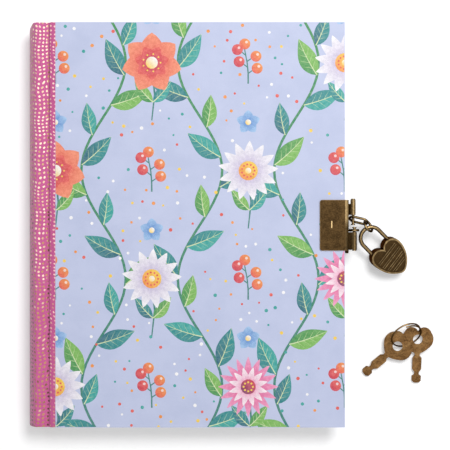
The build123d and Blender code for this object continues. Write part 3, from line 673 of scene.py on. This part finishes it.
def draw_petals(sheet, centre, size, count, start, shares, inks, blunt=0.6):
    """A ring of petals with darker streaks. Shares of the size: start, length and width."""
    inner, length, width = (size * share for share in shares)
    ink, tip, streak = inks
    for n in range(count):
        way = heading(start + 360.0 * n / count)
        side = Vector((-way.y, way.x))
        root = centre + way * inner

        def spot(t, across):
            spread = width / 2 * math.sin(math.pi * (0.08 + 0.92 * t ** blunt)) ** 0.75
            return root + way * (length * t) + side * (across * spread)

        steps = [k / 9 for k in range(10)]
        left = [spot(t, 1) for t in steps]
        right = [spot(t, -1) for t in reversed(steps[:-1])]
        sheet.shape(left + right, ink, tip, root, way * length)
        for lean in (-0.32, 0.0, 0.32):
            line = [spot(0.06, lean), spot(0.3, lean * 1.1), spot(0.62 - abs(lean) * 0.4, lean)]
            sheet.ribbon(line, 0.4, 0.08, streak, tip)


# Blooms, in shares of their size: the rings of petals, the middle and its ring of seeds
DAISY = SimpleNamespace(
    rings=[(13, 4, (0.22, 0.78, 0.38), (INK.lilac, INK.white, mixed(INK.lilac, INK.plum, 0.2)))],
    middle=(0.32, INK.orange, INK.yellow),
    seeds=(11, 0.21, 0.035, INK.coral),
    pip=(0.1, INK.yellow, INK.white, 12),
)
ROSETTE = SimpleNamespace(
    rings=[
        (7, 90, (0.12, 0.88, 0.78), (INK.coral, INK.coral_light, INK.red), 0.8),
        (7, 90 + 180 / 7, (0.1, 0.48, 0.4), (INK.red, INK.coral, INK.plum), 0.8),
    ],
    middle=(0.2, INK.yellow, INK.white),
    seeds=(9, 0.29, 0.03, INK.yellow),
    pip=None,
)
ASTER = SimpleNamespace(
    rings=[
        (16, 0, (0.2, 0.8, 0.27), (INK.pink, INK.pink_light, INK.plum)),
        (12, 15, (0.16, 0.5, 0.22), (INK.pink_light, INK.white, INK.pink)),
    ],
    middle=(0.25, INK.plum, INK.red),
    seeds=(8, 0.15, 0.035, INK.yellow),
    pip=None,
)


def draw_bloom(sheet, centre, size, bloom):
    """Rings of petals round a middle with seeds."""
    for ring in bloom.rings:
        draw_petals(sheet, centre, size, *ring)
    radius, *inks = bloom.middle
    sheet.disc(centre, size * radius, *inks)
    count, reach, radius, ink = bloom.seeds
    for n in range(count):
        at = centre + heading(n * 360 / count) * (size * reach)
        sheet.disc(at, size * radius, ink, sides=8)
    if bloom.pip:
        radius, *inks = bloom.pip
        sheet.disc(centre, size * radius, *inks)
    sheet.keep_clear(centre, size)


def draw_small_bloom(sheet, centre, size, ink, tip):
    """A five-petal filler flower."""
    draw_petals(sheet, centre, size, 5, 90, (0.12, 0.88, 0.82), (ink, tip, ink), 0.85)
    sheet.disc(centre, size * 0.24, INK.yellow, INK.white, 12)
    sheet.keep_clear(centre, size)


def draw_berries(sheet, root, way, count, reach, size):
    """A twig with berries at the ends of short stalks."""
    side = Vector((-way.y, way.x))

    def spot(t):
        return root + way * (reach * t) + side * (reach * 0.14 * t * t)

    for n in range(count):
        at = spot(0.3 + 0.7 * n / (count - 1))
        sign = 1 if n % 2 else -1
        lean = sign * size * 1.6 if n < count - 1 else 0.0
        berry = at + side * lean + way * size
        sheet.ribbon([at, at.lerp(berry, 0.5) + way * 0.3, berry], 0.6, 0.5, INK.stem)
        ink, tip = (INK.red, INK.coral) if n % 2 else (INK.coral, INK.orange)
        sheet.disc(berry, size, ink, tip)
        glint = mixed(tip, INK.white, 0.6)
        sheet.disc(berry + Vector((0.3, 0.34)) * size, size * 0.26, glint, sides=8)
        sheet.keep_clear(berry, size * 1.5)
    sheet.ribbon([spot(t) for t in (0, 0.3, 0.6, 1.0)], 0.8, 0.55, INK.stem)


def draw_trellis(sheet, low, high, paper):
    """Swaying stems that open and close in turn, with a bloom in each opening."""
    columns = int((high[0] - low[0]) / paper.column_pitch) + 1
    first = (low[0] + high[0] - paper.column_pitch * (columns - 1)) / 2
    turn = 2 * math.pi / paper.wave
    greens = (
        (INK.teal, INK.teal_light, INK.teal_light),
        (INK.green, INK.green_light, INK.green_light),
        (INK.deep, INK.teal, INK.teal_light),
    )

    def stem(column, y):
        sway = (1 if column % 2 else -1) * paper.swing * math.sin(turn * y)
        return Vector((first + column * paper.column_pitch + sway, y))

    big = paper.motif
    reach = int(high[1]) + 12
    for column in range(columns):
        path = [stem(column, y) for y in range(-reach, reach + 1, 4)]
        sheet.ribbon(path, 1.3, 1.3, INK.stem, INK.green)
        for n in range(-7, 8):
            y = 15.5 * n + 4.0 * (column % 2)
            root = stem(column, y)
            way = (stem(column, y + 1.0) - root).normalized()
            sign = 1 if (n + column) % 2 else -1
            spread = heading(math.degrees(math.atan2(way.y, way.x)) + sign * 46)
            size = (15.5 if n % 3 else 12.5) * big
            inks = greens[(n + column) % 3]
            draw_leaf(sheet, root, spread, size, size * 0.46, -sign * 0.12, inks)
    blooms = (DAISY, ROSETTE, ASTER)
    for column in range(-1, columns):
        for row in range(-3, 4):
            y = (row * 0.5 - 0.25) * paper.wave
            middle = first + (column + 0.5) * paper.column_pitch
            if (column + row) % 2 == 0:
                bloom = blooms[(column + row * 2) % 3]
                foot = Vector((middle, y - 22 * big))
                stalk = [foot, Vector((middle + 1.5, y - 12 * big)), Vector((middle, y))]
                sheet.ribbon(stalk, 0.6, 1.2, INK.stem)
                for sign in (1, -1):
                    draw_leaf(
                        sheet, Vector((middle + 0.6, y - 15 * big)), heading(90 - sign * 50),
                        10.5 * big, 4.6 * big, sign * 0.16, greens[(column + row + sign) % 3],
                    )
                draw_bloom(sheet, Vector((middle, y)), 11.5 * big, bloom)
                above = Vector((middle, y + 18.5 * big))
                draw_small_bloom(sheet, above, 4.6 * big, INK.blue, INK.blue_light)
            else:
                root = Vector((middle, y - 8 * big))
                draw_berries(sheet, root, heading(88), 5, 13 * big, 2.1 * big)


def draw_sprigs(sheet, low, high):
    """Small sprigs on a half-drop grid, for the back cover."""
    pitch_x, pitch_y = 25.0, 30.0
    tints = (
        (INK.coral, INK.coral_light), (INK.pink, INK.pink_light), (INK.blue, INK.blue_light),
    )
    for column in range(-1, int((high[0] - low[0]) / pitch_x) + 2):
        for row in range(-5, 6):
            x = low[0] + (column + 0.5) * pitch_x
            y = (row + 0.5 * (column % 2)) * pitch_y
            stalk = [Vector((x, y - 8)), Vector((x + 0.8, y - 3)), Vector((x, y + 2))]
            sheet.ribbon(stalk, 0.7, 0.5, INK.stem)
            for sign in (1, -1):
                draw_leaf(
                    sheet, Vector((x + 0.4, y - 5)), heading(90 - sign * 48), 8.0, 3.6, sign * 0.15,
                    (INK.teal, INK.teal_light, INK.mint),
                )
            ink, tip = tints[(column + row) % 3]
            draw_small_bloom(sheet, Vector((x, y + 4)), 4.8, ink, tip)


def draw_dots(sheet, low, high, seed, count):
    """Small spots scattered where nothing else is drawn."""
    chance = random.Random(seed)
    spots = (INK.orange, INK.white, INK.yellow, INK.coral, INK.teal_light)
    for n in range(count):
        at = Vector((chance.uniform(low[0], high[0]), chance.uniform(low[1], high[1])))
        if any((at - c).length < r + 1.6 for c, r in sheet.taken):
            continue
        sheet.disc(at, chance.uniform(0.55, 0.95), spots[n % len(spots)], sides=10)
        sheet.keep_clear(at, 3.0)


# Spine cloth


def spine_profile():
    """The cloth's outer line from the middle of the spine to the board, in x and z."""
    line = []
    for k in range(25):
        a = SPINE_ANG * k / 24
        line.append((SPINE_CX - SPINE_R * math.cos(a), BOOK_TOP / 2 + SPINE_R * math.sin(a)))
    line += [
        (-78.72, 19.38), (-78.4, 19.5), (-78.08, 19.47), (-77.75, 19.4), (-77.0, 19.28),
        (-76.0, 19.12), (-75.0, 18.97), (-74.2, 18.82), (-73.4, 18.66), (-72.7, 18.54),
        (-72.25, 18.5), (-71.9, 18.58), (-71.62, 18.8), (-71.48, 19.1), (-71.43, 19.5),
        (-71.36, 19.82), (-71.2, 19.97), (-71.0, 20.03), (-70.4, 20.05), (-69.5, 20.05),
        (-68.75, 20.04), (CLOTH_X1, BOOK_TOP),
    ]
    return [Vector((x, z)) for x, z in line]


def head_reach(x, y):
    """Draws the cloth in at the head where the spine's outer corner is worn away."""
    if y <= HEM_Y:
        return y
    limit = HALF_Y - max(0.0, HEAD_CUT_X - x) * HEAD_CUT_SLOPE
    return HEM_Y + (y - HEM_Y) * (limit - HEM_Y) / (HALF_Y - HEM_Y)


def cloth_strip(name, mirrored):
    """Half of the cover's cloth as a sheet that rolls in at its head and tail."""
    line = spine_profile()
    if mirrored:
        line = [Vector((p.x, BOOK_TOP - p.y)) for p in line]
    far = [0.0]
    for p, q in zip(line, line[1:]):
        far.append(far[-1] + (q - p).length)
    normals = []
    count = len(line)
    for k in range(count):
        way = line[min(k + 1, count - 1)] - line[max(k - 1, 0)]
        out = Vector((-way.y, way.x)).normalized()
        normals.append(-out if mirrored else out)
    hem = []
    for degrees in (150, 120, 90, 60, 30, 0):
        a = math.radians(degrees)
        inward = HEM_ROLL * (1 - math.cos(math.pi / 2 - a))
        hem.append((-HALF_Y + inward, HEM_ROLL * (1 - math.cos(a))))
    rows = hem + [(HEM_Y * (k / 10 - 1), 0.0) for k in range(21)]
    rows += [(-y, d) for y, d in reversed(hem)]
    mesh = bpy.data.meshes.new(name)
    points = []
    for y, depth in rows:
        for p, n in zip(line, normals):
            at = p - n * depth
            points.append((at.x * MM, head_reach(p.x, y) * MM, at.y * MM))
    faces, places = [], []
    for r in range(len(rows) - 1):
        for k in range(count - 1):
            square = [(r, k), (r, k + 1), (r + 1, k + 1), (r + 1, k)]
            if mirrored:
                square.reverse()
            faces.append([a * count + b for a, b in square])
            places += [(far[b] / far[-1], (rows[a][0] + HALF_Y) / (2 * HALF_Y)) for a, b in square]
    mesh.from_pydata(points, [], faces)
    layer = mesh.uv_layers.new(name="strip")
    for loop, place in zip(layer.data, places):
        loop.uv = place
    mesh.polygons.foreach_set("use_smooth", [True] * len(mesh.polygons))
    return mesh, far[-1]


def plain_mesh(piece):
    """What a piece's modifiers make of it, as a mesh of its own."""
    shown = piece.evaluated_get(bpy.context.evaluated_depsgraph_get())
    return bpy.data.meshes.new_from_object(shown)


def thicken(piece, thickness):
    """Gives a sheet its thickness on the inside, as plain mesh."""
    solid = piece.modifiers.new("thickness", "SOLIDIFY")
    solid.thickness = thickness * MM
    solid.offset = -1.0
    mesh = plain_mesh(piece)
    piece.modifiers.remove(solid)
    piece.data = mesh


# Pages


def page_stack_tree():
    """A stack of leaves whose back edge follows a rounded spine."""
    tree = bpy.data.node_groups.new("page_stack", "GeometryNodeTree")
    tree.interface.new_socket("Geometry", in_out="OUTPUT", socket_type="NodeSocketGeometry")
    for name, kind in (
        ("Leaves", "Int"),
        ("Pitch", "Float"),
        ("Leaf size", "Vector"),
        ("First leaf", "Vector"),
        ("Middle", "Float"),
        ("Roundness", "Float"),
        ("Unevenness", "Float"),
        ("Seed", "Int"),
        ("Paper", "Material"),
    ):
        tree.interface.new_socket(name, in_out="INPUT", socket_type="NodeSocket" + kind)
    recipe = Recipe(tree)
    given = recipe.node("NodeGroupInput")
    rise = recipe.vector(0.0, 0.0, given.out("Pitch"))
    line = recipe.node(
        "GeometryNodeMeshLine",
        {"Count": given.out("Leaves"), "Start Location": given.out("First leaf"), "Offset": rise},
        mode="OFFSET",
    )
    _, _, z = recipe.parts(recipe.node("GeometryNodeInputPosition"))
    away = z - given.out("Middle")
    radius = given.out("Roundness")
    sag = radius - (radius * radius - away * away) ** 0.5
    most = given.out("Unevenness")
    values = {2: most * -1.0, 3: most, "Seed": given.out("Seed")}
    loose = recipe.node("FunctionNodeRandomValue", values, 1, data_type="FLOAT")
    values = {"Geometry": line, "Offset": recipe.vector(sag + loose, loose * 0.7)}
    moved = recipe.node("GeometryNodeSetPosition", values)
    leaf = recipe.node("GeometryNodeMeshCube", {"Size": given.out("Leaf size")})
    stack = recipe.node("GeometryNodeInstanceOnPoints", {"Points": moved, "Instance": leaf})
    whole = recipe.node("GeometryNodeRealizeInstances", {"Geometry": stack})
    values = {"Geometry": whole, "Material": given.out("Paper")}
    papered = recipe.node("GeometryNodeSetMaterial", values)
    recipe.node("NodeGroupOutput", {0: papered})
    return tree


def grown_mesh(name, tree, values):
    """Runs a tree once on an empty object and gives its result as a plain mesh."""
    carrier = new_object(name, bpy.data.meshes.new(name))
    modifier = carrier.modifiers.new("grow", "NODES")
    modifier.node_group = tree
    for item in tree.interface.items_tree:
        if item.in_out == "INPUT":
            modifier[item.identifier] = values[item.name]
    mesh = plain_mesh(carrier)
    carrier.modifiers.remove(modifier)
    bpy.data.objects.remove(carrier)
    return mesh


# Operators


class DIARY_OT_cover_print(bpy.types.Operator):
    """Papers both covers and prints them"""

    bl_idname = "diary.cover_print"
    bl_label = "Cover print"

    def execute(self, context):
        paper = context.scene.diary_paper
        ground = cover_ground("cover_ground", paper.ground, paper.ground_shade)
        dress(ground, "front_paper", "back_paper")
        ink = printed_ink("printed_ink")
        low = (CLOTH_X1 + CLOTH_MARGIN, -HALF_Y + PRINT_MARGIN)
        high = (EDGE_X - PRINT_MARGIN, HALF_Y - PRINT_MARGIN)
        front = PrintSheet(low, high)
        draw_trellis(front, low, high, paper)
        draw_dots(front, low, high, paper.seed, FRONT_DOTS)
        mesh = front.cut("front_print", BOOK_TOP + PRINT_LIFT, True)
        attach(add_piece("front_print", mesh, ink), "front_cover")
        back = PrintSheet(low, high)
        draw_sprigs(back, low, high)
        draw_dots(back, low, high, paper.seed + 1, BACK_DOTS)
        mesh = back.cut("back_print", -PRINT_LIFT, False)
        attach(add_piece("back_print", mesh, ink), "book")
        return {"FINISHED"}


class DIARY_OT_spine_cloth(bpy.types.Operator):
    """Covers the spine and both joints with dotted cloth"""

    bl_idname = "diary.spine_cloth"
    bl_label = "Spine cloth"

    def execute(self, context):
        cloth = context.scene.diary_cloth
        for name, cover, heights, nodes in (
            ("front_cloth", "front_cover", FRONT_BEND, ("front_joint_cloth", "spine_cloth")),
            ("back_cloth", "book", BACK_BEND, ("back_joint_cloth",)),
        ):
            mesh, width = cloth_strip(name, cover == "book")
            finish = dotted_cloth(name + "_weave", cloth, 2 * HALF_Y, width)
            piece = add_piece(name, mesh, finish)
            thicken(piece, cloth.thickness)
            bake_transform(piece)
            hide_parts(*nodes)
        return {"FINISHED"}


class DIARY_OT_pages(bpy.types.Operator):
    """Stacks the sewn leaves and papers the loose ones"""

    bl_idname = "diary.pages"
    bl_label = "Pages"

    def execute(self, context):
        pages = context.scene.diary_pages
        finish = page_paper("page_paper", pages.paper, pages.shade)
        low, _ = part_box("section_1")
        middle_low, middle_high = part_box("section_5")
        _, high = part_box("section_8")
        pitch = (high.z - low.z) / pages.leaves
        width = middle_high.x - middle_low.x
        values = {
            "Leaves": pages.leaves,
            "Pitch": pitch,
            "Leaf size": Vector((width, high.y * 2, pages.thickness * MM)),
            "First leaf": Vector((middle_low.x + width / 2, 0.0, low.z + pitch / 2)),
            "Middle": PAGE_MIDDLE * MM,
            "Roundness": PAGE_ROUND * MM,
            "Unevenness": pages.jitter * MM,
            "Seed": pages.seed,
            "Paper": finish,
        }
        mesh = grown_mesh("sewn_leaves", page_stack_tree(), values)
        piece = add_piece("sewn_leaves", mesh, finish)
        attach(piece, "book")
        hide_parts(*["section_%d" % n for n in range(1, 9)])
        dress(finish, *["leaf_%d" % n for n in range(1, 5)])
        return {"FINISHED"}


class DIARY_OT_book_inside(bpy.types.Operator):
    """Finishes boards, endpapers, lining and bands"""

    bl_idname = "diary.book_inside"
    bl_label = "Inside of the book"

    def execute(self, context):
        paper = context.scene.diary_paper
        cloth = context.scene.diary_cloth
        board = grey_board("grey_board", tone(150, 140, 126), tone(120, 112, 100))
        dress(board, "front_board", "back_board", "spine_card")
        endpaper = plain_paper("endpaper", paper.endpaper, paper.endpaper_shade)
        dress(endpaper, "front_pastedown", "back_pastedown", "front_flyleaf", "back_flyleaf")
        dress(woven_lining("lining", tone(232, 226, 212), tone(196, 188, 170), 1.1), "spine_lining")
        silk = band_silk("band_silk", cloth.ground, tone(246, 238, 226), 0.85)
        dress(silk, "head_band", "tail_band")
        return {"FINISHED"}


def plate_wear_and_highlight(recipe, place):
    """Bright places: a thin worn line at the plate's edges and its worn mark, and painted highlight
    on the nose's upper half and on each barrel, more on the upper one.
    """
    low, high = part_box("front_clip")
    x, y, z = recipe.parts(place)
    near = (y - low.y / MM).least(high.y / MM - y).least(x - low.x / MM)
    edges = (1 - near.step(0.0, 0.3)) * 0.3
    mark = (z - BOOK_TOP).step(*MARK_RISE) * 0.9
    out = x - EDGE_X
    upper = y.step(*UPPER_HALF)
    nose = out.step(*NOSE_START) * (1 - out.step(*NOSE_END))
    # Painted highlight: the nose is bright on its upper half and faint below.
    painted_nose_highlight = nose * (0.08 + upper * 0.85)
    # Painted highlight on the barrels, stronger on the upper one.
    painted_barrel_highlight = out.step(*BARREL_START) * (0.17 + upper * 0.28)
    return edges.most(mark).most(painted_nose_highlight).most(painted_barrel_highlight)


def case_wear(recipe, place):
    """Rubbed rim and ribs, by their height out of the padlock's face."""
    height = recipe.along(place, LOCK_AT, LOCK_OUT)
    patches = recipe.noise(place, 0.35, 2.0).step(0.42, 0.6) * 0.3 + 0.26
    return height.step(*RIM_RISE) * patches


def wire_top_highlight(recipe, place):
    """A painted highlight: a bright line along the upper side of each bent wire."""
    return recipe.lift().step(0.72, 0.99) * 0.5


def key_wear(recipe, place):
    """Keys worn in broad patches, more on the raised bows and less towards the low tips."""
    height_share = recipe.parts(place)[2].step(*KEY_RISE) * 0.75 + 0.25
    return (recipe.noise(place, 0.22, 2.0).step(0.45, 0.7) * 0.2 + 0.04) * height_share


def bronze(metal):
    """Patina, plating, and the colour of worn places and painted highlights on the antique bronze.
    """
    return metal.bronze_dark, metal.bronze_light, metal.bronze_worn_and_highlight


class DIARY_OT_clasp(bpy.types.Operator):
    """Gives the clips, pins and eyes their antique plating"""

    bl_idname = "diary.clasp"
    bl_label = "Clasp"

    def execute(self, context):
        dark, light, worn = bronze(context.scene.diary_metal)
        # Worn edges and mark, with painted highlight on the nose and the barrels.
        plate = aged_metal("clip_bronze", dark, light, worn, 0.28, 0.4, plate_wear_and_highlight)
        dress(plate, "front_clip", "back_clip")
        deep = mixed(dark, BLACK, 0.3)
        # Painted highlight along the upper side of the pins, eyes and link ring.
        wire = aged_metal("wire_bronze", deep, light, worn, 0.5, 0.34, wire_top_highlight)
        dress(wire, "front_pin", "back_pin", "front_eye", "back_eye", "link_ring")
        return {"FINISHED"}


class DIARY_OT_padlock(bpy.types.Operator):
    """Finishes the padlock's case, shackle and works"""

    bl_idname = "diary.padlock"
    bl_label = "Padlock"

    def execute(self, context):
        metal = context.scene.diary_metal
        dark, light, worn = bronze(metal)
        deep, pale = mixed(dark, light, 0.15), mixed(dark, light, 0.85)
        case = aged_metal("case_bronze", deep, pale, worn, 0.45, 0.36, case_wear)
        dress(case, "case_front", "case_back")
        # Painted highlight along the upper side of the shackle.
        bow = aged_metal("shackle_bronze", dark, light, worn, 0.4, 0.3, wire_top_highlight)
        dress(bow, "shackle")
        steel = metal.steel
        works = aged_metal("works_steel", mixed(steel, BLACK, 0.3), steel, steel, 0.8, 0.35)
        dress(works, "case_rivets", "latch")
        self.seat_spring(works)
        brass = aged_metal("plug_brass", tone(120, 94, 56), tone(176, 144, 88), worn, 0.8, 0.36)
        dress(brass, "key_plug")
        return {"FINISHED"}

    def seat_spring(self, finish):
        """Puts a copy of the leaf spring, which the latch presses against the end of its pocket, in
        the padlock with the given finish, and hides the CAD spring.
        """
        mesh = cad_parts["latch_spring"].data.copy()
        piece = add_piece("leaf_spring", mesh, finish)
        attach(piece, "padlock")
        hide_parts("latch_spring")
        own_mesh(piece)


class DIARY_OT_keys(bpy.types.Operator):
    """Finishes both keys and their ring in worn brass"""

    bl_idname = "diary.keys"
    bl_label = "Keys"

    def execute(self, context):
        metal = context.scene.diary_metal
        dark, light, worn = metal.key_dark, metal.key_light, metal.key_worn_and_highlight
        brass = aged_metal("key_brass", dark, light, worn, 0.35, 0.4, key_wear)
        dress(brass, "key_1", "key_2")
        plating = metal.bronze_light
        # Painted highlight along the upper side of the split ring.
        ring = aged_metal("ring_bronze", plating, dark, worn, 0.5, 0.34, wire_top_highlight)
        dress(ring, "split_ring")
        return {"FINISHED"}


class DIARY_OT_stage(bpy.types.Operator):
    """Sets the floor, the light and the camera"""

    bl_idname = "diary.stage"
    bl_label = "Stage"

    def execute(self, context):
        scene = context.scene
        stage = scene.diary_stage
        scene.view_settings.view_transform = "Standard"
        self.lay_floor(stage)
        self.light_sky(scene, stage)
        lamp_data = bpy.data.lights.new("softbox", "AREA")
        lamp_data.shape = "DISK"
        lamp_data.size = LAMP_SIZE
        lamp_data.energy = stage.lamp_power
        lamp = new_object("softbox", lamp_data)
        lamp.location = LAMP_AT
        aim = LAMP_AIM - lamp.location
        lamp.rotation_euler = aim.to_track_quat("-Z", "Y").to_euler()
        lens = bpy.data.cameras.new("camera")
        lens.lens = stage.lens
        lens.sensor_width = 36.0
        lens.clip_start = 0.01
        camera = new_object("camera", lens)
        camera.location = (*CAMERA_XY, stage.camera_height)
        scene.camera = camera
        return {"FINISHED"}

    def lay_floor(self, stage):
        """A pale table that the camera sees as white except in shadow."""
        mesh = bpy.data.meshes.new("floor")
        half = FLOOR_HALF
        corners = [(-half, -half), (half, -half), (half, half), (-half, half)]
        mesh.from_pydata([(x, y, FLOOR_Z) for x, y in corners], [], [[0, 1, 2, 3]])
        floor = new_object("floor", mesh)
        recipe = new_finish("pale_floor")
        path = recipe.node("ShaderNodeLightPath")
        seen = path.most(path.out("Is Glossy Ray")).most(path.out("Is Transmission Ray"))
        matt = recipe.node("ShaderNodeBsdfDiffuse", {"Color": (0.84, 0.84, 0.845, 1.0)})
        glow = recipe.node("ShaderNodeEmission", {"Strength": seen * stage.floor_glow})
        both = recipe.node("ShaderNodeAddShader", {0: matt, 1: glow})
        recipe.node("ShaderNodeOutputMaterial", {"Surface": both})
        mesh.materials.append(recipe.material)

    def light_sky(self, scene, stage):
        """A pale sky, white where it is seen and dimmer low down where it is reflected."""
        world = bpy.data.worlds.new("sky")
        scene.world = world
        world.use_nodes = True
        world.node_tree.nodes.clear()
        recipe = Recipe(world.node_tree)
        path = recipe.node("ShaderNodeLightPath")
        seen = path.most(path.out("Is Transmission Ray"))
        _, _, up = recipe.parts(recipe.node("ShaderNodeTexCoord").out("Generated"))
        mirrored = path.out("Is Glossy Ray") * (up.step(0.15, 0.9) * 1.1 + 0.2 - stage.sky)
        strength = seen * (1.0 - stage.sky) + mirrored + stage.sky
        sky = recipe.node("ShaderNodeBackground", {"Strength": strength})
        recipe.node("ShaderNodeOutputWorld", {"Surface": sky})


class DIARY_PT_panel(bpy.types.Panel):
    """Lists the steps that dress the diary"""

    bl_idname = "DIARY_PT_panel"
    bl_label = "Diary"
    bl_space_type = "VIEW_3D"
    bl_region_type = "UI"
    bl_category = "Diary"

    def draw(self, context):
        column = self.layout.column(align=True)
        for step in STEPS:
            column.operator(step.bl_idname)


SETTINGS = {
    "diary_paper": DiaryPaperSettings,
    "diary_cloth": DiaryClothSettings,
    "diary_pages": DiaryPageSettings,
    "diary_metal": DiaryMetalSettings,
    "diary_stage": DiaryStageSettings,
}
STEPS = (
    DIARY_OT_cover_print,
    DIARY_OT_spine_cloth,
    DIARY_OT_pages,
    DIARY_OT_book_inside,
    DIARY_OT_clasp,
    DIARY_OT_padlock,
    DIARY_OT_keys,
    DIARY_OT_stage,
)


def register():
    for name, group in SETTINGS.items():
        bpy.utils.register_class(group)
        setattr(bpy.types.Scene, name, bpy.props.PointerProperty(type=group))
    for step in STEPS:
        bpy.utils.register_class(step)
    bpy.utils.register_class(DIARY_PT_panel)


def unregister():
    bpy.utils.unregister_class(DIARY_PT_panel)
    for step in reversed(STEPS):
        bpy.utils.unregister_class(step)
    for name, group in SETTINGS.items():
        delattr(bpy.types.Scene, name)
        bpy.utils.unregister_class(group)


def main():
    register()
    for step in STEPS:
        getattr(bpy.ops.diary, step.bl_idname.split(".")[1])()


if __name__ == "__main__":
    main()
